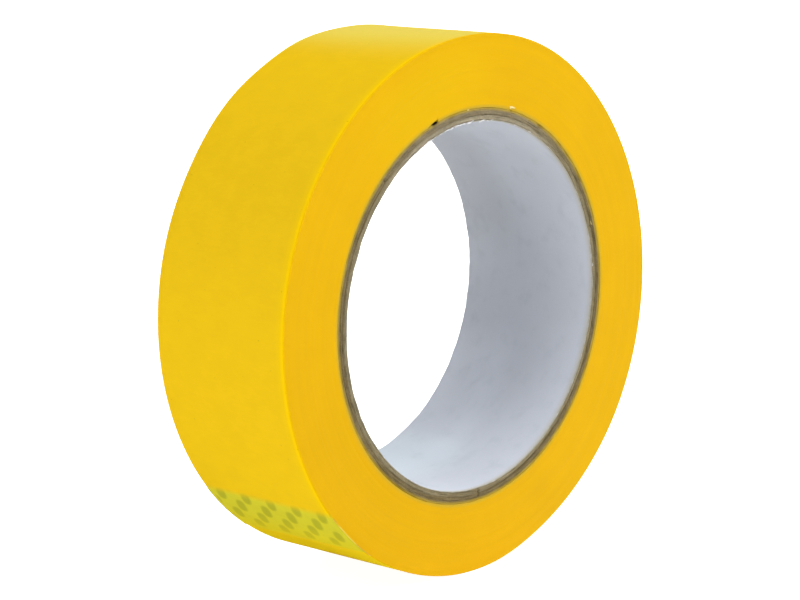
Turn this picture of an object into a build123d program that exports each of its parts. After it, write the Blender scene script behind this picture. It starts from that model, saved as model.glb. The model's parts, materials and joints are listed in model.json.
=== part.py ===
from build123d import *
import math
import os

# A roll of crepe paper masking tape on a paperboard core, standing on its rim.
# Millimetres and degrees. +Y lies along the roll's axis, +Z is up, and the origin is the
# centre of the bore. Angles around the roll run from +X towards +Z, seen from the -Y side.

# Core: a spiral-wound paperboard tube with a white paper lining.
BORE_DIAMETER = 76.0
CORE_WIDTH = 34.8
LINER_THICKNESS = 0.18
INNER_BOARD_THICKNESS = 1.0
OUTER_BOARD_THICKNESS = 1.57

# Tape: one strip, wound tight.
TAPE_WIDTH = 35.0
TAPE_THICKNESS = 0.09
TAPE_LENGTH = 50_000.0

# The strip's inner end leaves a small wedge of air between the core and the second turn.
INNER_END_ANGLE = 106.5
INNER_END_LIFT = 0.35
INNER_END_WEDGE = 4.2  # degrees of the core's circumference

# The loose end of the strip: three short lengths and a tab that a printed film stiffens.
TAIL_START = 180.0
TAB_START = 220.1
TAB_END = 234.7
TAIL_LENGTHS = 3
HINGE_GAP = 0.12
LIFT_CLEARANCE = 0.02  # between the loose end and the turn that it lies on
FILM_THICKNESS = 0.05
FILM_OVERHANG = 0.3  # past each edge of the tape
FILM_PROUD = 0.4  # past the cut end of the tape

RIM_ARCS = 4  # that the last turn's climb is drawn with

LINER_RADIUS = BORE_DIAMETER / 2 + LINER_THICKNESS
SEAM_RADIUS = LINER_RADIUS + INNER_BOARD_THICKNESS
CORE_RADIUS = SEAM_RADIUS + OUTER_BOARD_THICKNESS
ROLL_RADIUS = math.sqrt(CORE_RADIUS**2 + TAPE_LENGTH * TAPE_THICKNESS / math.pi)
TAIL_RADIUS = ROLL_RADIUS - TAPE_THICKNESS  # underside of the loose end
SEAT_RADIUS = TAIL_RADIUS - LIFT_CLEARANCE  # the turn that the loose end lies on
FILM_RADIUS = TAIL_RADIUS + FILM_THICKNESS  # between the film and the tape above it


def polar(radius, angle):
    """The point at this radius and angle around the roll."""
    turn = math.radians(angle)
    return (radius * math.cos(turn), radius * math.sin(turn))


def degrees_of(length):
    """The angle that a length along the roll's rim takes up."""
    return math.degrees(length / ROLL_RADIUS)


def circle_arc(radius, start, end):
    return ThreePointArc(polar(radius, start), polar(radius, (start + end) / 2), polar(radius, end))


def strip(inner, outer, start, end):
    """The side outline of a curved strip between two radii and two angles."""
    return make_face(
        [
            circle_arc(outer, start, end),
            Line(polar(outer, end), polar(inner, end)),
            circle_arc(inner, end, start),
            Line(polar(inner, start), polar(outer, start)),
        ]
    )


def across(outline, width):
    """A side outline made solid over this width, half to each side of the roll's middle."""
    return extrude(Plane.XZ * outline, width / 2, both=True)


def tube(inner, outer, width):
    return across(Circle(outer) - Circle(inner), width)


def climbing_rim(start, end):
    """The last turn from the seat's radius up to the roll's, as arcs through points of a spiral."""
    halves = 2 * RIM_ARCS
    shares = [i / halves for i in range(halves + 1)]
    climb = ROLL_RADIUS - SEAT_RADIUS
    points = [polar(SEAT_RADIUS + climb * share, start + (end - start) * share) for share in shares]
    return [ThreePointArc(*points[i : i + 3]) for i in range(0, halves, 2)]


def winding_outline():
    """Every turn below the loose end. The last turn climbs one thickness on its way round."""
    step = TAIL_START - degrees_of(HINGE_GAP / 2)
    seat_end = TAB_END + degrees_of(FILM_PROUD)
    outline = make_face(
        [
            circle_arc(SEAT_RADIUS, step, seat_end),
            *climbing_rim(seat_end, step + 360),
            Line(polar(ROLL_RADIUS, step), polar(SEAT_RADIUS, step)),
        ]
    )
    return outline - Circle(CORE_RADIUS) - inner_end_wedge()


def inner_end_wedge():
    """The air beside the cut inner end, as high as the folded end and tapering to nothing."""
    below = CORE_RADIUS - INNER_END_LIFT
    far = INNER_END_ANGLE + INNER_END_WEDGE
    corners = [
        polar(below, INNER_END_ANGLE),
        polar(CORE_RADIUS + INNER_END_LIFT, INNER_END_ANGLE),
        polar(CORE_RADIUS, far),
        polar(below, far),
    ]
    return make_face(Polyline(corners, close=True))


def tail_pieces():
    """The loose end's short lengths, each with half a hinge gap left off both its ends."""
    pitch = (TAB_START - TAIL_START) / TAIL_LENGTHS
    half_gap = degrees_of(HINGE_GAP / 2)
    pieces = {}
    for i in range(TAIL_LENGTHS):
        start = TAIL_START + i * pitch
        outline = strip(TAIL_RADIUS, ROLL_RADIUS, start + half_gap, start + pitch - half_gap)
        pieces[f"tape_tail_{i + 1}"] = across(outline, TAPE_WIDTH)
    tab_start = TAB_START + half_gap
    end_outline = strip(FILM_RADIUS, FILM_RADIUS + TAPE_THICKNESS, tab_start, TAB_END)
    film_outline = strip(TAIL_RADIUS, FILM_RADIUS, tab_start, TAB_END + degrees_of(FILM_PROUD))
    pieces["tape_end"] = across(end_outline, TAPE_WIDTH)
    pieces["starter_tab_film"] = across(film_outline, TAPE_WIDTH + 2 * FILM_OVERHANG)
    return pieces


parts = {
    "bore_liner": tube(BORE_DIAMETER / 2, LINER_RADIUS, CORE_WIDTH),
    "core_inner_board": tube(LINER_RADIUS, SEAM_RADIUS, CORE_WIDTH),
    "core_outer_board": tube(SEAM_RADIUS, CORE_RADIUS, CORE_WIDTH),
    "tape_winding": across(winding_outline(), TAPE_WIDTH),
    **tail_pieces(),
}

os.makedirs("parts", exist_ok=True)
for name, solid in parts.items():
    export_step(solid, f"parts/{name}.step")
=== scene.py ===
"""A roll of yellow masking tape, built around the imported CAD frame. Lengths are in metres."""

import json
import math

import bmesh
import bpy
import numpy as np
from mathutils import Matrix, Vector


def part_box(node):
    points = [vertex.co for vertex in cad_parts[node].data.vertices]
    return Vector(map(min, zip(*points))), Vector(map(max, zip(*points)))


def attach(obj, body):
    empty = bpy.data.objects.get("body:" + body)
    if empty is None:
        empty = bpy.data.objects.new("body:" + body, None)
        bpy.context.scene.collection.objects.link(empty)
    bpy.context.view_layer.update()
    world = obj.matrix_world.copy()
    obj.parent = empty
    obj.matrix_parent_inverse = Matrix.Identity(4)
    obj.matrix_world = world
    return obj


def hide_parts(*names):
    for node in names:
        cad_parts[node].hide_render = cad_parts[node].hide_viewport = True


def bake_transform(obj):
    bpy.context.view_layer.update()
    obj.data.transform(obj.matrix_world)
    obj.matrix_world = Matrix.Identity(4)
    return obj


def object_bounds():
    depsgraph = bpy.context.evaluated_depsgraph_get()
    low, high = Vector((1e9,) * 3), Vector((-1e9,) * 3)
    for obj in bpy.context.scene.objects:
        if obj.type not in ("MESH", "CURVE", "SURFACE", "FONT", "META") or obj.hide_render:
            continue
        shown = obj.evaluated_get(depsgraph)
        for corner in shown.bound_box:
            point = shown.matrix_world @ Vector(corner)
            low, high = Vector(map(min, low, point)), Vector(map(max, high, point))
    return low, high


MM = 0.001
TURN = 360.0
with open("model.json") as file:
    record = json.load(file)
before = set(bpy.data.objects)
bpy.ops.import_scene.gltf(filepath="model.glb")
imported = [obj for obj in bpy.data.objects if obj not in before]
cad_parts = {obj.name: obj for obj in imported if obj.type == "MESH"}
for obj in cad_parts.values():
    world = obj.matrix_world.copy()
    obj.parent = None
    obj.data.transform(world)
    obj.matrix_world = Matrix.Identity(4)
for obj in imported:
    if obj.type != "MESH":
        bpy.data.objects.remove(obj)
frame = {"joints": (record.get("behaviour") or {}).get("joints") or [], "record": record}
cad_low, cad_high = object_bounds()


# ---- Places, from the frame -------------------------------------------------------------


def angle_of(x, z):
    """The angle round the roll, in degrees from +X towards +Z."""
    return math.degrees(math.atan2(z, x)) % TURN


def end_angle(node):
    """Where a strip on the roll's lower left stops."""
    low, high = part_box(node)
    return angle_of(high.x, low.z)


joints = {joint["name"]: joint for joint in frame["joints"]}
hinges = {name: Vector(joint["pos_m"]) for name, joint in joints.items()}
hinge_angle = {name: angle_of(place.x, place.z) for name, place in hinges.items()}

BORE_RADIUS = frame["record"]["mounts"][0]["dims"]["r_mm"] * MM
LINER_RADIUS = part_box("bore_liner")[1].x
SEAM_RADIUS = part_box("core_inner_board")[1].x
CORE_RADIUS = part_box("core_outer_board")[1].x
CORE_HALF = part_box("core_outer_board")[1].y
ROLL_RADIUS = -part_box("tape_winding")[0].x
TAPE_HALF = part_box("tape_winding")[1].y
TAPE_THICKNESS = 2 * (ROLL_RADIUS - hinges["tail_peel"].length)
LIFT_CLEARANCE = 0.02 * MM  # between the loose end and the tape below it
SEAT_RADIUS = ROLL_RADIUS - TAPE_THICKNESS - LIFT_CLEARANCE
TAIL_START = hinge_angle["tail_peel"]
TAB_START = hinge_angle["tab_lift"]
TAB_END = end_angle("tape_end")
FILM_END = end_angle("starter_tab_film")
FILM_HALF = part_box("starter_tab_film")[1].y
FILM_THICKNESS = 0.05 * MM
HINGE_GAP = 0.12 * MM  # between two lengths of the strip
FLOOR_Z = cad_low.z

INNER_END_ANGLE = 106.5  # the strip's cut inner end
INNER_END_WEDGE = 4.2  # degrees past it over which the next turn stands off the core
INNER_END_LIFT = 0.5 * MM


# ---- Mesh helpers ------------------------------------------------------------------------
# Points carry two attributes that the materials read. spin is the cosine and the sine of their angle
# round the roll, and its share of a turn. lay is their radius, their place across the tape, and how far
# along the strip they are past its peel line, in millimetres.

SHARP_ANGLE = 35  # degrees between faces that don't shade smoothly into each other
STRIP_SHARP_ANGLE = 50
CORE_SHARP_ANGLE = 60


def smooth(value, low, high):
    """0 below low, 1 above high, and a smooth step between."""
    share = np.clip((value - low) / (high - low), 0, 1)
    return share * share * (3 - 2 * share)


def on_ring(angles, radius, y):
    """Points at these angles, radii and places across the tape."""
    turn = np.radians(angles)
    parts = np.broadcast_arrays(radius * np.cos(turn), y, radius * np.sin(turn))
    return np.stack(parts, -1)


def grid_faces(rows, columns, wrap_rows, wrap_columns):
    """Quads between the points of a grid, numbered row by row."""
    i = np.arange(rows if wrap_rows else rows - 1)
    j = np.arange(columns if wrap_columns else columns - 1)
    i, j = np.meshgrid(i, j, indexing="ij")
    here, below = i * columns, (i + 1) % rows * columns
    right = (j + 1) % columns
    return np.stack([here + j, here + right, below + right, below + j], -1).reshape(-1, 4)


def vector_attribute(mesh, name, values):
    """Gives each point of the mesh a named vector."""
    mesh.attributes.new(name, "FLOAT_VECTOR", "POINT").data.foreach_set("vector", np.ravel(values))


def make_piece(name, points, faces, spin, lay, materials, slots=None, sharp=SHARP_ANGLE):
    """A mesh object. Its points carry spin and lay, and slots says which material each face takes."""
    mesh = bpy.data.meshes.new(name)
    mesh.from_pydata(points.reshape(-1, 3).tolist(), [], [list(map(int, face)) for face in faces])
    vector_attribute(mesh, "spin", spin.reshape(-1, 3).astype(np.float32))
    vector_attribute(mesh, "lay", lay.reshape(-1, 3).astype(np.float32))
    for material in materials:
        mesh.materials.append(material)
    if slots is not None:
        mesh.polygons.foreach_set("material_index", np.asarray(slots, np.int32))
    shape = bmesh.new()
    shape.from_mesh(mesh)
    bmesh.ops.recalc_face_normals(shape, faces=shape.faces)
    shape.to_mesh(mesh)
    shape.free()
    mesh.polygons.foreach_set("use_smooth", np.ones(len(mesh.polygons), bool))
    mesh.set_sharp_from_angle(angle=math.radians(sharp))
    piece = bpy.data.objects.new(name, mesh)
    bpy.context.scene.collection.objects.link(piece)
    return piece


def carried(angles, radius, y):
    """The spin and lay attributes of points on the roll."""
    angles, radius, y = np.broadcast_arrays(np.asarray(angles, float), radius, y)
    turn = np.radians(angles)
    spin = np.stack([np.cos(turn), np.sin(turn), angles / TURN], -1)
    along = ROLL_RADIUS * np.radians(angles - TAIL_START)
    return spin, np.stack([radius, y, along], -1) / MM


def ring_piece(name, angles, radius, y, materials, slots=None, sharp=SHARP_ANGLE):
    """A closed ring whose section may change round it: radius, y and slots have a row for each angle."""
    column = angles[:, None]
    faces = grid_faces(*radius.shape, True, True)
    spin, lay = carried(column, radius, y)
    if slots is not None:
        slots = slots.ravel()
    return make_piece(name, on_ring(column, radius, y), faces, spin, lay, materials, slots, sharp)


def uneven(count, draw, spread=0.35):
    """Shares from 0 to 1, in order, with uneven steps between."""
    shares = np.linspace(0, 1, count)
    shares[1:-1] += draw.uniform(-spread, spread, count - 2) / (count - 1)
    return shares


def rough_ring(rows, columns, seed, reach):
    """Random heights with unit spread, smoothed round the ring over reach rows."""
    heights = np.random.default_rng(seed).normal(size=(rows, columns))
    waves = np.fft.rfftfreq(rows) * reach
    kept = np.exp(-((waves * math.pi) ** 2))[:, None]
    heights = np.fft.irfft(np.fft.rfft(heights, axis=0) * kept, rows, axis=0)
    return heights / heights.std()


# ---- Material helpers --------------------------------------------------------------------


def display(red, green, blue):
    """A colour given as it shows on a screen, 0 to 255, in the linear numbers that nodes take."""
    parts = [part / 255 for part in (red, green, blue)]
    return [p / 12.92 if p <= 0.04045 else ((p + 0.055) / 1.055) ** 2.4 for p in parts] + [1.0]


EVEN_BLEND = 0.5  # at which Blender's facing weight is 1 minus the cosine


class Shader:
    """A node material. Its calls take sockets or plain numbers, and return sockets."""

    def __init__(self, name, roughness=0.6, specular=0.5):
        self.material = bpy.data.materials.new(name)
        self.material.use_nodes = True
        self.tree = self.material.node_tree
        self.surface = self.tree.nodes["Principled BSDF"]
        self.set("Roughness", roughness)
        self.set("Specular IOR Level", specular)

    def put(self, socket, value):
        if isinstance(value, bpy.types.NodeSocket):
            self.tree.links.new(value, socket)
        else:
            socket.default_value = value

    def set(self, name, value):
        self.put(self.surface.inputs[name], value)

    def node(self, kind, inputs, **settings):
        made = self.tree.nodes.new(kind)
        for key, value in settings.items():
            setattr(made, key, value)
        for key, value in inputs.items():
            self.put(made.inputs[key], value)
        return made

    def math(self, operation, *values):
        return self.node("ShaderNodeMath", dict(enumerate(values)), operation=operation).outputs[0]

    def product(self, first, second):
        return self.math("MULTIPLY", first, second)

    def minus(self, first, second):
        return self.math("SUBTRACT", first, second)

    def size(self, value):
        return self.math("ABSOLUTE", value)

    def step(self, value, low, high, start=0.0, stop=1.0):
        """start below low, stop above high, and a smooth step between."""
        inputs = {"Value": value, "From Min": low, "From Max": high, "To Min": start, "To Max": stop}
        made = self.node("ShaderNodeMapRange", inputs, interpolation_type="SMOOTHSTEP")
        return made.outputs["Result"]

    def fade(self, value, low, high, most=1.0):
        """most below low, 0 above high, and a smooth fall between."""
        return self.step(value, low, high, most, 0.0)

    def mix(self, share, first, second, blend="MIX"):
        inputs = {0: share, 6: first, 7: second}
        return self.node("ShaderNodeMix", inputs, data_type="RGBA", blend_type=blend).outputs[2]

    def parts(self, name):
        """The three numbers of a point's spin or lay attribute."""
        whole = self.node("ShaderNodeAttribute", {}, attribute_name=name).outputs["Vector"]
        return self.node("ShaderNodeSeparateXYZ", {0: whole}).outputs[:3]

    def vector(self, x, y, z):
        return self.node("ShaderNodeCombineXYZ", {0: x, 1: y, 2: z}).outputs[0]

    def noise(self, vector, detail=2.0, rough=0.5, scale=1.0):
        inputs = {"Vector": vector, "Scale": scale, "Detail": detail, "Roughness": rough}
        return self.node("ShaderNodeTexNoise", inputs).outputs["Fac"]

    def around(self, per_mm, across, across_per_mm):
        """A place that repeats after a full turn: so many features a mm round the rim, and across it."""
        cos, sin, _ = self.parts("spin")
        reach = per_mm * ROLL_RADIUS / MM
        along = self.product(across, across_per_mm)
        return self.vector(self.product(cos, reach), self.product(sin, reach), along)

    def toward(self, angle):
        """The cosine of how far a point is from this angle round the roll."""
        cos, sin, _ = self.parts("spin")
        turn = math.radians(angle)
        return self.math("ADD", self.product(cos, math.cos(turn)), self.product(sin, math.sin(turn)))

    def vary(self, colour, noise, amount):
        """The colour made darker and lighter by the noise, by up to this share."""
        change = self.step(noise, 0.25, 0.75, 1 - amount, 1 + amount)
        grey = self.node("ShaderNodeCombineColor", {0: change, 1: change, 2: change}).outputs[0]
        return self.mix(1.0, colour, grey, "MULTIPLY")

    def glance(self):
        """How low an angle the surface is seen at, from 0 to 1, and how far it faces up."""
        glance = self.node("ShaderNodeLayerWeight", {"Blend": EVEN_BLEND}).outputs["Facing"]
        normal = self.node("ShaderNodeNewGeometry", {}).outputs["Normal"]
        return glance, self.node("ShaderNodeSeparateXYZ", {0: normal}).outputs[2]

    def bump(self, height, depth, strength=1.0, normal=None):
        """Raises the surface by height times depth, in metres."""
        inputs = {"Height": height, "Distance": depth, "Strength": strength}
        if normal is not None:
            inputs["Normal"] = normal
        return self.node("ShaderNodeBump", inputs).outputs["Normal"]


# ---- Tape materials ----------------------------------------------------------------------
# Here and in the core's materials, places and distances on the roll are in millimetres.

BACKING_COLOUR = (0.883, 0.566, 0.0115, 1.0)  # linear, as all colours that aren't given by display()
# Painted sheen: the backing's colour where it is seen at a low angle, and where it also faces up,
# standing in for reflected light.
LOW_GLANCE_SHEEN_COLOUR = (0.85, 0.66, 0.014, 1.0)
HIGH_GLANCE_SHEEN_COLOUR = (0.88, 0.70, 0.115, 1.0)
# Painted light: the tape less red where it faces down.
UNDERSIDE_LIGHT_TINT = (0.93, 1.0, 1.0, 1.0)
SIDE_COLOUR = (0.87, 0.492, 0.003, 1.0)
BRIGHT_PATCH_COLOUR = (0.89, 0.545, 0.003, 1.0)
YELLOW_SHEEN = (1.0, 0.7, 0.05, 1.0)
# Painted highlight along the tape's front rim.
RIM_HIGHLIGHT_COLOUR = display(254, 210, 10)
# Painted shade on the rim's rounded corner where it is seen at a low angle.
RIM_CORNER_SHADE_COLOUR = display(196, 160, 44)
SPECK_COLOUR = display(176, 140, 20)
# Painted shade on the innermost turns' edges beside the core.
FIRST_TURNS_SHADE_COLOUR = display(206, 175, 56)
ADHESIVE_COLOUR = display(240, 211, 92)

CREPE_WAVE = (1.9, 0.45)  # wrinkles a millimetre along the strip, and across it
CREPE_DEPTH = 0.035 * MM
PAPER_FIBRE_DEPTH = 0.012 * MM
TURN_EDGE_DEPTH = 0.02 * MM
ADHESIVE_DEPTH = 0.04 * MM

PRINT_PITCH_ACROSS = 7.06  # between columns of dashes
PRINT_PITCH_ALONG = 7.0
PRINT_PHASE_ACROSS = -0.32  # one dash's middle, from the tape's middle and from the film's start
PRINT_PHASE_ALONG = 0.35
DASH_HALF_ACROSS = 1.2
DASH_HALF_ALONG = 2.2
DASH_SLANT = 0.28  # across for each millimetre along
SHOWN_THROUGH_BLUR = 0.7  # of the dashes seen through the tape, as a share of their size
CRISP_BLUR = 0.12
SHOWN_THROUGH_COLOUR = display(216, 205, 54)
SHOWN_THROUGH_INK = display(184, 178, 48)
BAND_LEAN = 0.04  # along for each millimetre across, at the band's cut end
FILM_COLOUR = display(221, 214, 120)
FILM_INK = display(104, 116, 44)
# Painted light on the film's bare rims: a pale highlight on the front one, yellow near its ends, and
# shade on the back one.
FILM_FRONT_RIM_HIGHLIGHT = display(240, 214, 66)
FILM_RIM_ENDS = display(232, 186, 20)
FILM_BACK_RIM_SHADE = display(112, 122, 60)
FILM_START_ALONG = ROLL_RADIUS / MM * math.radians(TAB_START - TAIL_START)
TAPE_END_ALONG = ROLL_RADIUS / MM * math.radians(TAB_END - TAIL_START)


def past_nearest(shader, place, pitch, first):
    """How far a place is past the nearest of marks that repeat at this pitch, one of them at first."""
    moved = shader.minus(place, first - pitch / 2)
    return shader.minus(shader.math("FLOORED_MODULO", moved, pitch), pitch / 2)


def dash_print(shader, across, along, blur):
    """1 on the printed dashes: two lattices of slanted dashes, staggered by half a pitch."""
    dashes = []
    for shift in (0.0, 0.5):
        first_column = PRINT_PHASE_ACROSS + shift * PRINT_PITCH_ACROSS
        first_row = FILM_START_ALONG + PRINT_PHASE_ALONG + shift * PRINT_PITCH_ALONG
        row = past_nearest(shader, along, PRINT_PITCH_ALONG, first_row)
        column = past_nearest(shader, across, PRINT_PITCH_ACROSS, first_column)
        column = shader.minus(column, shader.product(row, DASH_SLANT))
        wide = shader.size(shader.math("DIVIDE", column, DASH_HALF_ACROSS))
        long = shader.size(shader.math("DIVIDE", row, DASH_HALF_ALONG))
        reach = shader.math("ADD", shader.math("POWER", wide, 2.0), shader.math("POWER", long, 3.0))
        dashes.append(shader.fade(reach, 1 - blur, 1 + blur))
    return shader.math("MAXIMUM", *dashes)


def with_rims(shader, colour, across, from_edge):
    """A painted highlight just inside the front rim, and the side's deeper yellow at both edges."""
    # The bright line on the front rim is painted highlight.
    front = shader.fade(across, -0.5, 0.5)
    rise = shader.step(from_edge, 0.7, 1.2, 1.0, 0.38)
    line = shader.product(rise, shader.fade(from_edge, 1.0, 2.8))
    colour = shader.mix(shader.product(line, front), colour, RIM_HIGHLIGHT_COLOUR)
    return shader.mix(shader.fade(from_edge, 0.1, 0.42, 0.85), colour, SIDE_COLOUR)


def with_print_through(shader, colour, across, along, from_edge, mottle):
    """The greenish band and blurred dashes where the film lies below the tape."""
    leaning = shader.minus(along, shader.product(across, BAND_LEAN))
    starts = shader.step(along, FILM_START_ALONG - 2.0, FILM_START_ALONG + 0.7)
    ends = shader.fade(leaning, TAPE_END_ALONG - 1.1, TAPE_END_ALONG - 0.1)
    ink = dash_print(shader, across, along, SHOWN_THROUGH_BLUR)
    ink = shader.product(ink, shader.step(from_edge, 0.5, 1.4))
    ink = shader.product(ink, shader.fade(along, TAPE_END_ALONG - 2.4, TAPE_END_ALONG - 1.4))
    through = shader.mix(ink, SHOWN_THROUGH_COLOUR, SHOWN_THROUGH_INK)
    return shader.mix(shader.product(starts, ends), colour, shader.vary(through, mottle, 0.03))


def with_painted_sheen(shader, colour, from_edge):
    """Painted sheen and shade: the paler, cooler yellow of crepe paper seen at a low angle, above all on
    top of the roll.
    """
    glance, up = shader.glance()
    # painted light on the underside: less red where the tape faces down
    colour = shader.mix(shader.fade(up, -0.9, -0.2, 0.8), colour, UNDERSIDE_LIGHT_TINT, "MULTIPLY")
    # painted sheen where the tape is seen at a low angle
    colour = shader.mix(shader.step(glance, 0.68, 0.92, 0.0, 0.9), colour, LOW_GLANCE_SHEEN_COLOUR)
    # painted shade on the rim's rounded corner seen at a low angle
    corner = shader.step(glance, 0.6, 0.9, 0.0, 0.7)
    corner = shader.product(corner, shader.fade(from_edge, 0.1, 0.3))
    colour = shader.mix(corner, colour, RIM_CORNER_SHADE_COLOUR)
    # painted reflection of the light above, on up-facing tape seen at a low angle
    above = shader.product(shader.step(glance, 0.61, 0.9), shader.step(up, 0.6, 1.0))
    return shader.mix(above, colour, HIGH_GLANCE_SHEEN_COLOUR)


def tape_backing(name, film_below=False):
    """Crepe paper: fine wrinkles across the strip, a soft mottle and a few specks."""
    shader = Shader(name, specular=0.0)
    _, across, along = shader.parts("lay")
    wrinkle = shader.noise(shader.around(CREPE_WAVE[0], across, CREPE_WAVE[1]), detail=3.0)
    fibre = shader.noise(shader.around(7.0, across, 6.0), detail=2.0)
    mottle = shader.noise(shader.around(0.22, across, 0.2), detail=3.0, rough=0.6)
    speck = shader.noise(shader.around(0.9, across, 0.9), detail=1.0)
    from_edge = shader.minus(TAPE_HALF / MM, shader.size(across))
    colour = shader.vary(BACKING_COLOUR, mottle, 0.02)
    colour = with_rims(shader, colour, across, from_edge)
    if film_below:
        colour = with_print_through(shader, colour, across, along, from_edge, mottle)
    colour = with_painted_sheen(shader, colour, from_edge)
    colour = shader.vary(colour, fibre, 0.016)
    colour = shader.vary(colour, wrinkle, 0.01)
    colour = shader.mix(shader.step(speck, 0.79, 0.81, 0.0, 0.35), colour, SPECK_COLOUR)
    shader.set("Base Color", colour)
    shader.set("Specular Tint", YELLOW_SHEEN)
    shader.set("Roughness", shader.step(fibre, 0.2, 0.8, 0.42, 0.6))
    normal = shader.bump(wrinkle, CREPE_DEPTH, 0.5)
    shader.set("Normal", shader.bump(fibre, PAPER_FIBRE_DEPTH, 0.5, normal))
    return shader.material


BRIGHT_PATCH_ANGLE = 108.0  # where the side is a little brighter, and how many degrees it takes to fade
BRIGHT_PATCH_SPREAD = 34.0
BRIGHT_PATCH_RADII = (50.0, 55.0)  # between which it thins out towards the rim


def tape_side():
    """The flat side of the winding: the cut edges of some hundred and sixty turns."""
    shader = Shader("tape_side", roughness=0.62, specular=0.22)
    radius, _, _ = shader.parts("lay")
    _, _, turn = shader.parts("spin")
    turns = shader.noise(shader.around(0.02, radius, 5.5), detail=2.0)
    bands = shader.noise(shader.around(0.006, radius, 0.55), detail=2.0)
    fluff = shader.noise(shader.around(2.5, radius, 2.5), detail=3.0)
    cloud = shader.noise(shader.around(0.06, radius, 0.06), detail=2.0)
    colour = SIDE_COLOUR
    for noise, amount in ((bands, 0.012), (cloud, 0.02), (turns, 0.014), (fluff, 0.014)):
        colour = shader.vary(colour, noise, amount)
    from_bright_patch = shader.size(shader.minus(turn, BRIGHT_PATCH_ANGLE / TURN))
    bright_patch = shader.fade(from_bright_patch, 0.02, BRIGHT_PATCH_SPREAD / TURN, 0.6)
    bright_patch = shader.product(bright_patch, shader.step(radius, *BRIGHT_PATCH_RADII, 1.0, 0.25))
    colour = shader.mix(bright_patch, colour, BRIGHT_PATCH_COLOUR)
    # painted shade on the side next to the core, where the first turns round over
    from_core = shader.minus(radius, CORE_RADIUS / MM)
    colour = shader.mix(shader.fade(from_core, 0.0, 0.9, 0.8), colour, FIRST_TURNS_SHADE_COLOUR)
    shader.set("Base Color", colour)
    shader.set("Specular Tint", YELLOW_SHEEN)
    shader.set("Roughness", shader.step(turns, 0.2, 0.8, 0.5, 0.72))
    normal = shader.bump(turns, TURN_EDGE_DEPTH, 0.55)
    shader.set("Normal", shader.bump(fluff, TURN_EDGE_DEPTH, 0.5, normal))
    return shader.material


def tape_adhesive():
    """The sticky side: paler than the backing, and shinier, with a soft ripple from the crepe."""
    shader = Shader("tape_adhesive", specular=0.5)
    _, across, _ = shader.parts("lay")
    ripple = shader.noise(shader.around(CREPE_WAVE[0], across, CREPE_WAVE[1]), detail=2.0)
    coat = shader.noise(shader.around(0.4, across, 0.35), detail=3.0)
    colour = shader.vary(ADHESIVE_COLOUR, coat, 0.05)
    shader.set("Base Color", shader.vary(colour, ripple, 0.03))
    shader.set("Roughness", shader.step(coat, 0.3, 0.7, 0.24, 0.4))
    shader.set("Normal", shader.bump(ripple, ADHESIVE_DEPTH, 0.5))
    return shader.material


def printed_film():
    """The starter tab's film: milky and glossy, with crisp olive dashes. Its bare front rim has a
    painted highlight, plain yellow near the film's ends, and its bare back rim painted shade.
    """
    shader = Shader("printed_film", specular=0.3)
    _, across, along = shader.parts("lay")
    haze = shader.noise(shader.around(0.5, across, 0.5), detail=2.0)
    ink = dash_print(shader, across, along, CRISP_BLUR)
    colour = shader.mix(ink, FILM_COLOUR, FILM_INK)
    from_start = shader.step(along, FILM_START_ALONG + 2.0, FILM_START_ALONG + 3.0)
    to_end = shader.fade(along, TAPE_END_ALONG - 5.4, TAPE_END_ALONG - 4.4)
    # painted highlight on the front rim and painted shade on the back rim
    front_rim = shader.mix(shader.product(from_start, to_end), FILM_RIM_ENDS, FILM_FRONT_RIM_HIGHLIGHT)
    rims = shader.mix(shader.step(across, -1.0, 1.0), front_rim, FILM_BACK_RIM_SHADE)
    from_edge = shader.minus(FILM_HALF / MM, shader.size(across))
    colour = shader.mix(shader.fade(from_edge, 0.35, 0.6), colour, rims)
    shader.set("Base Color", shader.vary(colour, haze, 0.04))
    shader.set("Roughness", shader.step(haze, 0.3, 0.7, 0.3, 0.42))
    return shader.material


# ---- Core materials ----------------------------------------------------------------------

BOARD_SEAM_COLOUR = display(98, 84, 54)
BOARD_TOP_COLOUR = display(186, 176, 156)
BOARD_BESIDE_TAPE_COLOUR = display(200, 170, 48)
# Painted shade in the deepest nicks of the boards' ends.
DEEP_GAP_SHADE_COLOUR = display(20, 15, 8)
BOARD_LAYER_DEPTH = 0.1 * MM
BOARD_FIBRE_DEPTH = 0.05 * MM


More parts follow.
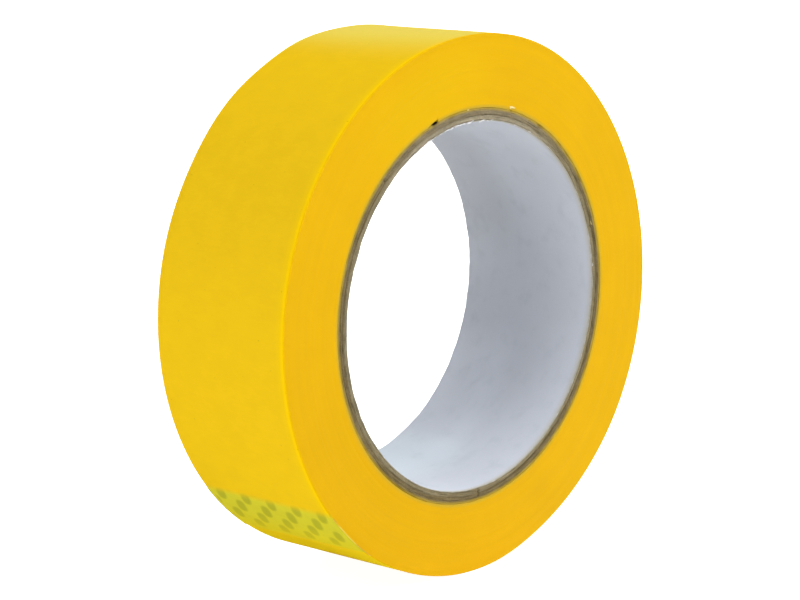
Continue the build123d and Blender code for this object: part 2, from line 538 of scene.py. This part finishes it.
def board_edge(name, light, dark, top_light, seed):
    """The sawn end of a paperboard ply: fibres that run round the core, with darker gaps between."""
    shader = Shader(name, roughness=0.9, specular=0.2)
    radius, across, _ = shader.parts("lay")
    _, sin, _ = shader.parts("spin")
    shifted = shader.math("ADD", radius, float(seed))
    layers = shader.noise(shader.around(0.12, shifted, 3.2), detail=3.0, rough=0.65)
    fibre = shader.noise(shader.around(2.4, shifted, 4.4), detail=3.0, rough=0.6)
    blot = shader.noise(shader.around(0.35, shifted, 0.8), detail=2.0)
    colour = shader.mix(shader.step(layers, 0.25, 0.75), display(*dark), display(*light))
    colour = shader.mix(shader.step(sin, 0.65, 0.95, 0.0, top_light), colour, BOARD_TOP_COLOUR)
    colour = shader.vary(colour, fibre, 0.18)
    colour = shader.vary(colour, blot, 0.1)
    from_seam = shader.size(shader.minus(radius, SEAM_RADIUS / MM))
    colour = shader.mix(shader.fade(from_seam, 0.05, 0.55, 0.22), colour, BOARD_SEAM_COLOUR)
    from_tape = shader.minus(CORE_RADIUS / MM, radius)
    colour = shader.mix(shader.fade(from_tape, 0.0, 0.85, 0.85), colour, BOARD_BESIDE_TAPE_COLOUR)
    # painted shade: near-black where the board's end lies deep inside the core's ends
    inward = shader.minus(CORE_HALF / MM, shader.size(across))
    colour = shader.mix(shader.step(inward, 0.32, 0.7), colour, DEEP_GAP_SHADE_COLOUR)
    shader.set("Base Color", colour)
    normal = shader.bump(layers, BOARD_LAYER_DEPTH, 0.6)
    shader.set("Normal", shader.bump(fibre, BOARD_FIBRE_DEPTH, 0.7, normal))
    return shader.material


LINER_COLOUR = (0.612, 0.645, 0.708, 1.0)
SCUFF_COLOUR = display(186, 190, 200)
SMUDGE_COLOUR = display(176, 184, 192)
LINER_SEAM_COLOUR = display(150, 152, 160)
LINER_CUT_COLOUR = display(190, 184, 168)
LINER_TORN_COLOUR = display(176, 170, 150)
LINER_SEAM_ANGLE = 205.0
LINER_SEAM_TWIST = 1.9  # degrees round the bore for each millimetre across it
LINER_SEAM_DEPTH = 0.12 * MM
LINER_GRAIN_DEPTH = 0.012 * MM
# Painted light and shade on the paper: lighter round the bottom and lower right of the bore and darker
# on its upper right, growing towards the back. Each row gives an angle round the bore, how near it a
# point must be, as a cosine, the millimetres across the roll over which it sets in, and what it does to
# the colour.
LINER_PAINTED_LIGHT = (
    (270, (0.86, 0.97), (-8, 5), (1.13, 1.18, 1.16)),
    (314, (0.86, 0.99), (-3, 6), (1.15, 1.15, 1.145)),
    (35, (0.82, 0.99), (-4, 10), (0.86, 0.85, 0.84)),
)


def past_liner_seam(shader, across):
    """How many millimetres round the bore a point is past the lap, which runs round it in a spiral."""
    cos, sin, _ = shader.parts("spin")
    twist = shader.product(across, math.radians(LINER_SEAM_TWIST))
    leaning = shader.minus(shader.math("ARCTAN2", sin, cos), twist)
    return shader.product(shader.minus(leaning, math.radians(LINER_SEAM_ANGLE - TURN)), BORE_RADIUS / MM)


def liner_paper():
    """The bore's white paper: smooth and matt, with faint scuffs and the lap where its turns meet."""
    shader = Shader("liner_paper", roughness=0.8, specular=0.25)
    _, across, _ = shader.parts("lay")
    soft = shader.noise(shader.around(0.05, across, 0.06), detail=3.0)
    smudge = shader.noise(shader.around(0.16, across, 0.3), detail=3.0)
    grain = shader.noise(shader.around(3.0, across, 3.0), detail=3.0, rough=0.6)
    scuff = shader.noise(shader.around(0.5, across, 0.9), detail=4.0, rough=0.65)
    colour = shader.vary(LINER_COLOUR, soft, 0.02)
    colour = shader.mix(shader.step(scuff, 0.64, 0.74, 0.0, 0.15), colour, SCUFF_COLOUR)
    colour = shader.mix(shader.step(smudge, 0.5, 0.8, 0.0, 0.25), colour, SMUDGE_COLOUR)
    # painted light and shade on the bore
    for angle, nearness, depth, tint in LINER_PAINTED_LIGHT:
        near = shader.step(shader.toward(angle), *nearness)
        amount = shader.product(near, shader.step(across, *depth))
        colour = shader.mix(amount, colour, (*tint, 1.0), "MULTIPLY")
    colour = shader.vary(colour, grain, 0.015)
    past = past_liner_seam(shader, across)
    colour = shader.mix(shader.fade(shader.size(past), 0.05, 0.3, 0.6), colour, LINER_SEAM_COLOUR)
    from_front = shader.math("ADD", CORE_HALF / MM, across)
    colour = shader.mix(shader.fade(from_front, 0.1, 1.7, 0.6), colour, LINER_CUT_COLOUR)
    torn = shader.fade(from_front, 0.1, 0.5)
    torn = shader.product(torn, shader.step(scuff, 0.5, 0.62, 0.9, 0.2))
    colour = shader.mix(torn, colour, LINER_TORN_COLOUR)
    shader.set("Base Color", colour)
    normal = shader.bump(shader.step(past, -0.12, 0.12), LINER_SEAM_DEPTH, 0.7)
    shader.set("Normal", shader.bump(grain, LINER_GRAIN_DEPTH, 0.5, normal))
    return shader.material


INNER_PLY_TONES = ((163, 152, 122), (132, 120, 88))  # light and dark fibres, as on a screen
OUTER_PLY_TONES = ((142, 128, 94), (110, 96, 62))
TORN_LINING_COLOUR = display(240, 240, 242)
TORN_TAPE_COLOUR = display(255, 236, 160)
# Painted shade down the gap beside the strip's inner end.
GAP_SHADE_COLOUR = display(34, 24, 8)


def torn_paper(name, colour):
    """Loose fibres where paper was cut or torn."""
    shader = Shader(name, roughness=0.9, specular=0.2)
    _, across, _ = shader.parts("lay")
    fibre = shader.noise(shader.around(6.0, across, 6.0), detail=2.0)
    shader.set("Base Color", shader.vary(colour, fibre, 0.06))
    return shader.material


def shaded_gap():
    """The adhesive on the innermost turn, seen only down the gap beside the strip's inner end, painted
    near-black as shade.
    """
    shader = Shader("shaded_gap", roughness=0.8, specular=0.1)
    _, across, _ = shader.parts("lay")
    shade_noise = shader.noise(shader.around(1.0, across, 1.0), detail=2.0)
    shader.set("Base Color", shader.vary(GAP_SHADE_COLOUR, shade_noise, 0.2))
    return shader.material


backing = tape_backing("tape_backing")
backing_over_film = tape_backing("tape_backing_over_film", film_below=True)
side = tape_side()
adhesive = tape_adhesive()
film_material = printed_film()
inner_board_material = board_edge("inner_board", *INNER_PLY_TONES, top_light=0.4, seed=3)
outer_board_material = board_edge("outer_board", *OUTER_PLY_TONES, top_light=0.22, seed=11)
liner_material = liner_paper()
fibre_material = torn_paper("torn_lining", TORN_LINING_COLOUR)
fleck_material = torn_paper("torn_tape", TORN_TAPE_COLOUR)
gap_shade_material = shaded_gap()


# ---- The winding -------------------------------------------------------------------------

RING_STEPS = 540
SIDE_RINGS = 62
RIM_COLUMNS = 27
RIM_ROUND = 0.15 * MM  # how far the outermost turns' edges sink
RIM_ROUND_STEPS = (90, 66, 45, 24, 0)  # degrees round that edge
STEP_ANGLE = TAIL_START - math.degrees(HINGE_GAP / 2 / ROLL_RADIUS)  # the near side of the first hinge
HAIR = 0.004  # degrees, the width of a near-upright step in the mesh

TURN_SINK = 0.006 * MM  # how far a turn's edge lies below the side's face, and the spread of that
TURN_SINK_SPREAD = 0.01 * MM
DEEP_TURN_SHARE = 0.08  # of the turns
DEEP_TURN_SINK = 0.03 * MM
SIDE_FLUFF = 0.006 * MM
SIDE_FLUFF_REACH = 24  # rows of the mesh
INNER_ROUND = 0.12 * MM  # how far the innermost turns' edges sink
INNER_ROUND_FADE = 60
WEDGE_FALL = 0.7  # the power with which the inner end's lift falls off

BACKING_FACE, SIDE_FACE, GAP_SHADE_FACE = range(3)  # the winding's material slots

PRESSED = [  # angle, spread, depth in mm, at the front rim and at the back one
    (292, 12, 0.42, 1, 1),
    (309, 14, 0.38, 1, 0),
    (117, 10, 0.45, 0, 1),
    (94, 13, 0.55, 0, 1),
    (146, 12, 0.22, 0, 1),
    (67, 20, -0.30, 1, 0),
]


def pressed(angles, y):
    """How far the roll is out of round, from handling."""
    back = smooth(y, -TAPE_HALF, TAPE_HALF)
    dents = []
    for place, spread, most, at_front, at_back in PRESSED:
        share = at_front * (1 - back) + at_back * back
        dents.append(most * MM * share * np.exp(-(((angles - place) / spread) ** 2)))
    return sum(dents)


def rim_radius(angles):
    """The radius over the middle of the tape: a seat under the loose end, then one turn's climb."""
    share = ((angles - FILM_END) % TURN) / (TURN - (FILM_END - TAIL_START))
    climbing = SEAT_RADIUS + (ROLL_RADIUS - SEAT_RADIUS) * share
    on_seat = (angles > STEP_ANGLE + HAIR / 2) & (angles <= FILM_END)
    return np.where(on_seat, SEAT_RADIUS, climbing)


def edge_sink(y):
    """How far the tape's face drops towards the rims, as a quarter round."""
    past = np.clip((np.abs(y) - (TAPE_HALF - RIM_ROUND)) / RIM_ROUND, 0, 1)
    return RIM_ROUND * (1 - np.sqrt(1 - past * past))


def across_stations(columns, half):
    """Places across the strip, close together where its edges round over."""
    corner = half - RIM_ROUND * (1 - np.sin(np.radians(RIM_ROUND_STEPS)))
    flat = np.linspace(-(half - RIM_ROUND), half - RIM_ROUND, columns)[1:-1]
    return np.concatenate([-corner, flat, corner[::-1]])


def worn_side(draw, angles, inner, rim, seed):
    """One flat side, as rings of turn edges: each point's radius, and how far it is from the middle."""
    shares = uneven(SIDE_RINGS, draw)[:-1]
    sink = np.abs(draw.normal(TURN_SINK, TURN_SINK_SPREAD, len(shares)))
    sink += np.where(draw.uniform(size=len(shares)) < DEEP_TURN_SHARE, DEEP_TURN_SINK, 0)
    sway = 1 + 0.5 * np.sin(np.radians(angles)[:, None] + draw.uniform(0, 2 * np.pi, len(shares)))
    fluff = SIDE_FLUFF * rough_ring(len(angles), len(shares), seed, SIDE_FLUFF_REACH)
    sunk = np.clip(sink * sway + fluff, 0, None) * smooth(1 - shares, 0.0, 0.02)
    rounding = INNER_ROUND * np.exp(-shares * INNER_ROUND_FADE)
    radius = inner[:, None] + (rim - inner)[:, None] * shares
    return radius, TAPE_HALF - sunk - rounding


def make_winding():
    """The wound tape: its rim, its sides, and the wedge of air where its inner end lies on the core."""
    wedge_end = INNER_END_ANGLE + INNER_END_WEDGE
    extra = [STEP_ANGLE, STEP_ANGLE + HAIR, FILM_END, INNER_END_ANGLE - HAIR, INNER_END_ANGLE, wedge_end]
    angles = np.unique(np.concatenate([np.arange(RING_STEPS) * TURN / RING_STEPS, extra]))
    column = angles[:, None]
    stations = across_stations(RIM_COLUMNS, TAPE_HALF)
    rim = rim_radius(column) - edge_sink(stations) - pressed(column, stations)
    lifted = (angles >= INNER_END_ANGLE) & (angles < wedge_end)
    fall = np.clip((wedge_end - angles) / INNER_END_WEDGE, 0, 1) ** WEDGE_FALL
    inner = CORE_RADIUS + np.where(lifted, INNER_END_LIFT * fall, 0)
    draw = np.random.default_rng(5)
    front, front_y = worn_side(draw, angles, inner, rim[:, 0], seed=20)
    back, back_y = worn_side(draw, angles, inner, rim[:, -1], seed=19)
    radius = np.hstack([front, rim, back[:, ::-1]])
    y = np.hstack([-front_y, np.broadcast_to(stations, rim.shape), back_y[:, ::-1]])
    rings = front.shape[1]
    slots = np.full(radius.shape, BACKING_FACE)
    slots[:, :rings] = SIDE_FACE
    slots[:, -rings - 1:] = SIDE_FACE
    # the inner face in the wedge takes the painted shade
    slots[lifted, -1] = GAP_SHADE_FACE
    materials = [backing, side, gap_shade_material]
    winding = ring_piece("winding", angles, radius, y, materials, slots, STRIP_SHARP_ANGLE)
    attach(winding, "roll")
    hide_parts("tape_winding")


# ---- The loose end and the starter tab ---------------------------------------------------

SHEET_STEP = 0.25  # degrees
FILM_RAMP = 1.2 * MM  # over which the tape climbs onto the film
FILM_SETBACK = 0.1 * MM  # the film starts this far past the tab's hinge
FLAT_SHARE = 0.7  # how much of the roll's rounded edge the film holds flat at its cut end
FLAT_RAMP = 4  # degrees before the tab where that starts


def degrees_of(length):
    """The angle that a length along the rim takes up."""
    return math.degrees(length / ROLL_RADIUS)


def strip_angles(start, end):
    """The angles of a strip's rows of points."""
    return np.linspace(start, end, max(2, round((end - start) / SHEET_STEP) + 1))


def strip_piece(name, angles, bottom, thickness, half, materials):
    """A closed strip laid on the roll. bottom is the radius of its underside for each angle."""
    stations = across_stations(RIM_COLUMNS, half)
    follows = 1 - FLAT_SHARE * smooth(angles, TAB_START - FLAT_RAMP, TAB_END)
    underside = bottom[:, None] - follows[:, None] * edge_sink(stations * TAPE_HALF / half)
    radius = np.hstack([underside + thickness, underside[:, ::-1]])
    y = np.broadcast_to(np.concatenate([stations, stations[::-1]]), radius.shape)
    rows, columns = radius.shape
    count = len(stations)
    below = (np.arange(columns) >= count) & (np.arange(columns) < columns - 1)
    along_cut = np.arange(count - 1)
    caps = [along_cut, along_cut + 1, columns - 2 - along_cut, columns - 1 - along_cut]
    caps = np.stack(caps, -1)
    faces = np.concatenate([grid_faces(rows, columns, False, True), caps, caps + (rows - 1) * columns])
    slots = np.concatenate([np.tile(below, rows - 1), np.zeros(2 * len(caps), bool)]).astype(int)
    points = on_ring(angles[:, None], radius, y)
    spin, lay = carried(angles[:, None], radius, y)
    return make_piece(name, points, faces, spin, lay, materials, slots, STRIP_SHARP_ANGLE)


def tape_sheet(name, start, end, face):
    """A length of the loose end, one tape thickness deep. Near the tab it climbs onto the film."""
    angles = strip_angles(start, end)
    climb = FILM_THICKNESS * smooth(angles, TAB_START - degrees_of(FILM_RAMP), TAB_START)
    bottom = ROLL_RADIUS - TAPE_THICKNESS + climb
    sheet = strip_piece(name, angles, bottom, TAPE_THICKNESS, TAPE_HALF, [face, adhesive])
    return sheet


def make_tail():
    """The loose end as sheets that meet midway between its hinges."""
    lines = [TAIL_START, hinge_angle["tail_flex_1"], hinge_angle["tail_flex_2"], TAB_START]
    middles = [(a + b) / 2 for a, b in zip(lines, lines[1:])]
    starts = [STEP_ANGLE + HAIR] + middles
    for i, (start, end) in enumerate(zip(starts, middles)):
        sheet = tape_sheet(f"tail_bend_{i + 1}", start, end, backing)
        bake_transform(sheet)
        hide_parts(f"tape_tail_{i + 1}")
    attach(tape_sheet("tail_flat", middles[-1], TAB_START, backing_over_film), "tail_3")


def make_tab():
    """The cut end of the tape over the printed film, which stands proud of it on three sides."""
    tape = tape_sheet("tab_tape", TAB_START, TAB_END, backing_over_film)
    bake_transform(tape)
    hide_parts("tape_end")
    angles = strip_angles(TAB_START + degrees_of(FILM_SETBACK), FILM_END)
    bottom = np.full(len(angles), ROLL_RADIUS - TAPE_THICKNESS)
    film = strip_piece("starter_film", angles, bottom, FILM_THICKNESS, FILM_HALF, [film_material])
    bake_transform(film)
    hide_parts("starter_tab_film")


# ---- The core ----------------------------------------------------------------------------

CORE_STEPS = 900
NICKS = [  # in the boards' ends: angle, spread in degrees, radius, spread in mm, depth in mm
    (272.0, 0.30, 39.2, 1.60, 0.45),  # where the board's strip butts against its next turn
    (287.0, 0.30, 40.0, 0.60, 0.30),
    (18.0, 0.35, 39.5, 1.00, 0.30),
    (133.0, 0.50, 39.6, 0.40, 0.45),
    (85.5, 0.50, 39.2, 0.25, 0.40),
    (107.4, 1.30, 40.6, 0.32, 1.00),  # beside the tape's inner end
    (215.0, 0.40, 38.8, 0.60, 0.20),
]

SAWN_FIBRE = 0.045 * MM  # the sawn ends' relief, from the fibres and from the layers of board
SAWN_LAYERS = 0.05 * MM
SAWN_SHORT = 0.09 * MM  # how far the ends lie inside the core's full width
DEEPEST_CUT = 0.9 * MM


def board_ring(name, inner, outer, columns, seed, material, grooves):
    """A paperboard tube with rough sawn ends. grooves are (radius, width, depth) of gaps in its ends."""
    angles = np.arange(CORE_STEPS) * TURN / CORE_STEPS
    draw = np.random.default_rng(seed)
    radius = inner + (outer - inner) * uneven(columns, draw, 0.3)
    ends = []
    for end_seed in (seed, seed + 10):
        fibre = rough_ring(CORE_STEPS, columns, end_seed + 1, 3)
        layers = rough_ring(CORE_STEPS, columns, end_seed + 2, 40)
        worn = SAWN_SHORT + SAWN_FIBRE * fibre + SAWN_LAYERS * layers
        for place, width, depth in grooves:
            worn = worn + depth * np.exp(-(((radius - place) / width) ** 2))
        for angle, spread, place, width, depth in NICKS:
            off = ((angles[:, None] - angle) / spread) ** 2 + ((radius / MM - place) / width) ** 2
            worn = worn + depth * MM * np.exp(-off)
        ends.append(CORE_HALF - np.clip(worn, 0, DEEPEST_CUT))
    y = np.hstack([-ends[0], ends[1][:, ::-1]])
    both = np.broadcast_to(np.concatenate([radius, radius[::-1]]), y.shape)
    ring = ring_piece(name, angles, both, y, [material], sharp=CORE_SHARP_ANGLE)
    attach(ring, "roll")
    return ring


def make_core():
    """The two plies, with a groove in their ends wherever two layers meet."""
    lining = (LINER_RADIUS, 0.06 * MM, 0.10 * MM)
    seam = (SEAM_RADIUS, 0.2 * MM, 0.08 * MM)
    contact = (CORE_RADIUS, 0.1 * MM, 0.1 * MM)
    edges = (LINER_RADIUS, SEAM_RADIUS)
    inner = board_ring("core_inner_ply", *edges, 9, 31, inner_board_material, [lining, seam])
    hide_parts("core_inner_board")
    edges = (SEAM_RADIUS, CORE_RADIUS)
    outer = board_ring("core_outer_ply", *edges, 13, 57, outer_board_material, [seam, contact])
    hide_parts("core_outer_board")


LINER_COLUMNS = 39
LINER_SHORT = 0.05 * MM  # how far the lining's edges lie inside the core's full width
LINER_RAGGED = 0.05 * MM
LINER_RAGGED_LIMITS = (-0.12 * MM, 0.1 * MM)
LINER_EDGE = 0.6 * MM  # from the core's ends to the first ring of points on the bore
LINER_WAVE = 0.02 * MM
LINER_WAVE_FADE = 3 * MM
LINER_EDGE_ROUND = 0.035 * MM
LINER_BACK_SHORT = 0.02 * MM


def make_liner():
    """The white lining: a thin tube, very slightly wavy, whose cut edges are ragged and rounded."""
    angles = np.arange(CORE_STEPS) * TURN / CORE_STEPS
    ragged = np.clip(LINER_RAGGED * rough_ring(CORE_STEPS, 2, 77, 4), *LINER_RAGGED_LIMITS)
    half = CORE_HALF - LINER_SHORT + ragged
    front_y, back_y = -half[:, :1], half[:, 1:]
    middle = np.linspace(-1, 1, LINER_COLUMNS + 2)[1:-1] * (CORE_HALF - LINER_EDGE)
    wave = LINER_WAVE * rough_ring(CORE_STEPS, len(middle), 78, 120)
    wave *= smooth(CORE_HALF - np.abs(middle), 0, LINER_WAVE_FADE)
    edge = np.full((CORE_STEPS, 1), BORE_RADIUS + LINER_EDGE_ROUND)
    glued = np.full((CORE_STEPS, 2), LINER_RADIUS)
    radius = np.hstack([edge, BORE_RADIUS + np.abs(wave), edge, glued])
    across = np.broadcast_to(middle, wave.shape)
    y = np.hstack([front_y, across, back_y, back_y - LINER_BACK_SHORT, front_y + LINER_BACK_SHORT])
    liner = ring_piece("liner", angles, radius, y, [liner_material], sharp=CORE_SHARP_ANGLE)
    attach(liner, "roll")
    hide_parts("bore_liner")


# ---- Loose paper -------------------------------------------------------------------------

RIBBON_STEPS = 6
RIBBON_TIP = 0.25  # of its full width
PAPER_THICKNESS = 0.03 * MM
CURL_OUT = 0.22  # how much each step leans in or out, and towards the front, for a step of 1
CURL_FORWARD = (-0.08, 0.14)


def ribbon(start, steps, width, thickness):
    """The points of a thin closed ribbon: four for each place along it."""
    points = start + np.vstack([np.zeros(3), np.cumsum(steps, axis=0)])
    ahead = np.gradient(points, axis=0)
    sideways = np.cross(ahead, [0, -1, 0])
    sideways /= np.linalg.norm(sideways, axis=1)[:, None]
    up = np.cross(sideways, ahead)
    up /= np.linalg.norm(up, axis=1)[:, None]
    out = sideways * np.linspace(1, RIBBON_TIP, len(points))[:, None] * width / 2
    rise = up * thickness / 2
    above, below = points + rise, points - rise
    return np.stack([above + out, above - out, below - out, below + out], 1)


def torn_bit(draw, angle, radius, length, width, lift):
    """One ribbon of paper that lies along the core's front end and curls a little."""
    turn = math.radians(angle)
    reach = radius + draw.uniform(-0.06, 0.06) * MM
    outward = np.array([math.cos(turn), 0, math.sin(turn)])
    start = reach * outward + np.array([0, -CORE_HALF - lift, 0])
    along = np.array([-math.sin(turn), 0, math.cos(turn)]) * draw.choice([-1, 1])
    steps = []
    for _ in range(RIBBON_STEPS):
        curl = draw.normal(0.0, CURL_OUT) * outward - np.array([0, draw.uniform(*CURL_FORWARD), 0])
        steps.append(length * draw.uniform(0.6, 1.0) / RIBBON_STEPS * (along + curl))
    return ribbon(start, steps, width * draw.uniform(0.6, 1.0), PAPER_THICKNESS)


def loose_paper(name, kinds, material):
    """Torn bits of paper on the core's front end. A kind is how many there are, their angle and its
    spread, and then their radius, length, width and lift."""
    draw = np.random.default_rng(90)
    tubes = []
    for count, angle, spread, *shape in kinds:
        for _ in range(count):
            tubes.append(torn_bit(draw, angle + spread * draw.normal(), *shape))
    rows = RIBBON_STEPS + 1
    first = np.arange(4)
    one = np.concatenate([grid_faces(rows, 4, False, True), [first, first + 4 * RIBBON_STEPS]])
    faces = np.concatenate([one + i * rows * 4 for i in range(len(tubes))])
    points = np.concatenate(tubes).reshape(-1, 3)
    angles = np.degrees(np.arctan2(points[:, 2], points[:, 0]))
    spin, lay = carried(angles, np.hypot(points[:, 0], points[:, 2]), points[:, 1])
    piece = make_piece(name, points, faces, spin, lay, [material])
    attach(piece, "roll")


def make_fibres():
    """Slivers and fibres of white lining torn up where the core was cut, and flecks of pale tape."""
    edge = BORE_RADIUS + 0.12 * MM
    slivers = (9, 97, 9, edge, 2.0 * MM, 0.36 * MM, 0.05 * MM)
    hairs = (14, 100, 14, edge, 1.1 * MM, 0.16 * MM, 0.05 * MM)
    strays = (9, 200, 95, edge, 0.8 * MM, 0.14 * MM, 0.04 * MM)
    loose_paper("liner_fibres", [slivers, hairs, strays], fibre_material)
    fleck = (1, 75.5, 0.1, CORE_RADIUS + 0.45 * MM, 2.1 * MM, 0.8 * MM, 0.16 * MM)
    speck = (1, 93.4, 0.1, CORE_RADIUS - 0.1 * MM, 0.8 * MM, 0.3 * MM, 0.1 * MM)
    scrap = (1, 18.5, 0.1, CORE_RADIUS - 1.3 * MM, 1.1 * MM, 0.2 * MM, 0.06 * MM)
    loose_paper("tape_fleck", [fleck, speck, scrap], fleck_material)


make_winding()
make_tail()
make_tab()
make_core()
make_liner()
make_fibres()


# ---- Floor, light and camera -------------------------------------------------------------

FLOOR_REACH = 6.0
FLOOR_GLOW = 0.08
FLOOR_SEEN_GLOW = 0.84  # for the camera alone, so that the floor runs into the white behind it
FLOOR_FAR_GLOW = 1.1
FLOOR_GLOW_RISE = (3 * ROLL_RADIUS, 8 * ROLL_RADIUS)  # from the roll, where it rises to that
FLOOR_COLOUR = (0.9, 0.9, 0.9, 1.0)


def make_floor():
    """A wide pale floor that the roll stands on. To the camera it glows, and more so far away."""
    mesh = bpy.data.meshes.new("floor")
    signs = ((-1, -1), (1, -1), (1, 1), (-1, 1))
    corners = [(x * FLOOR_REACH, y * FLOOR_REACH, FLOOR_Z) for x, y in signs]
    mesh.from_pydata(corners, [], [(0, 1, 2, 3)])
    floor = bpy.data.objects.new("floor", mesh)
    bpy.context.scene.collection.objects.link(floor)
    shader = Shader("floor", roughness=0.9, specular=0.0)
    shader.set("Base Color", FLOOR_COLOUR)
    seen = shader.node("ShaderNodeLightPath", {}).outputs["Is Camera Ray"]
    place = shader.node("ShaderNodeNewGeometry", {}).outputs["Position"]
    far = shader.node("ShaderNodeVectorMath", {0: place}, operation="LENGTH").outputs["Value"]
    glow = shader.step(far, *FLOOR_GLOW_RISE, FLOOR_SEEN_GLOW, FLOOR_FAR_GLOW)
    shader.set("Emission Color", (1.0, 1.0, 1.0, 1.0))
    shader.set("Emission Strength", shader.math("MULTIPLY_ADD", seen, glow, FLOOR_GLOW))
    mesh.materials.append(shader.material)


def direction(azimuth, elevation):
    """The way towards a light or camera. Azimuth 0 is in front of the roll, and 90 is on its right."""
    turn, rise = math.radians(azimuth), math.radians(elevation)
    return Vector((math.sin(turn) * math.cos(rise), -math.cos(turn) * math.cos(rise), math.sin(rise)))


def aimed_at_roll(name, data, place):
    made = bpy.data.objects.new(name, data)
    made.location = place
    made.rotation_euler = (-place).to_track_quat("-Z", "Y").to_euler()
    bpy.context.scene.collection.objects.link(made)
    return made


LIGHT_DISTANCE = 1.5
LIGHT_SIZE = 0.65
LIGHTS = {  # azimuth, elevation, watts
    "left_low": (-90, 6, 7.9),
    "left_high": (-60, 42, 3.5),
    "front_high": (0, 42, 4.6),
    "front_right_high": (30, 42, 10.2),
    "back_low": (150, 6, 9.7),
    "back_high": (165, 24, 10.4),
    "top_left": (-80, 64, 4.0),
}


def make_lights():
    for name, (azimuth, elevation, watts) in LIGHTS.items():
        lamp = bpy.data.lights.new(name, "AREA")
        lamp.shape, lamp.size, lamp.energy = "DISK", LIGHT_SIZE, watts
        aimed_at_roll(name, lamp, direction(azimuth, elevation) * LIGHT_DISTANCE)


CAMERA_AZIMUTH, CAMERA_ELEVATION = -47.9, 10.9
CAMERA_DISTANCE = 10.62 * ROLL_RADIUS
CAMERA_LENS, CAMERA_SENSOR = 128.1, 36.0
CAMERA_SHIFT = (-0.0152, -0.0045)


def make_camera():
    data = bpy.data.cameras.new("camera")
    data.lens, data.sensor_width = CAMERA_LENS, CAMERA_SENSOR
    data.shift_x, data.shift_y = CAMERA_SHIFT
    place = direction(CAMERA_AZIMUTH, CAMERA_ELEVATION) * CAMERA_DISTANCE
    bpy.context.scene.camera = aimed_at_roll("camera", data, place)


SKY_SEEN, SKY_MIRRORED, SKY_LIGHT = 1.0, 0.3, 0.04  # to the camera, in reflections, and on everything


def make_sky():
    """White behind the roll and in its reflections. The lamps do almost all of the lighting."""
    world = bpy.data.worlds.new("sky")
    bpy.context.scene.world = world
    world.use_nodes = True
    tree = world.node_tree
    path = tree.nodes.new("ShaderNodeLightPath")
    strength = SKY_LIGHT
    for ray, level in (("Is Glossy Ray", SKY_MIRRORED), ("Is Camera Ray", SKY_SEEN)):
        choose = tree.nodes.new("ShaderNodeMix")
        tree.links.new(path.outputs[ray], choose.inputs[0])
        if isinstance(strength, float):
            choose.inputs[2].default_value = strength
        else:
            tree.links.new(strength, choose.inputs[2])
        choose.inputs[3].default_value = level
        strength = choose.outputs[0]
    tree.nodes["Background"].inputs["Color"].default_value = (1, 1, 1, 1)
    tree.links.new(strength, tree.nodes["Background"].inputs["Strength"])


make_floor()
make_lights()
make_sky()
make_camera()
bpy.context.scene.view_settings.view_transform = "Standard"
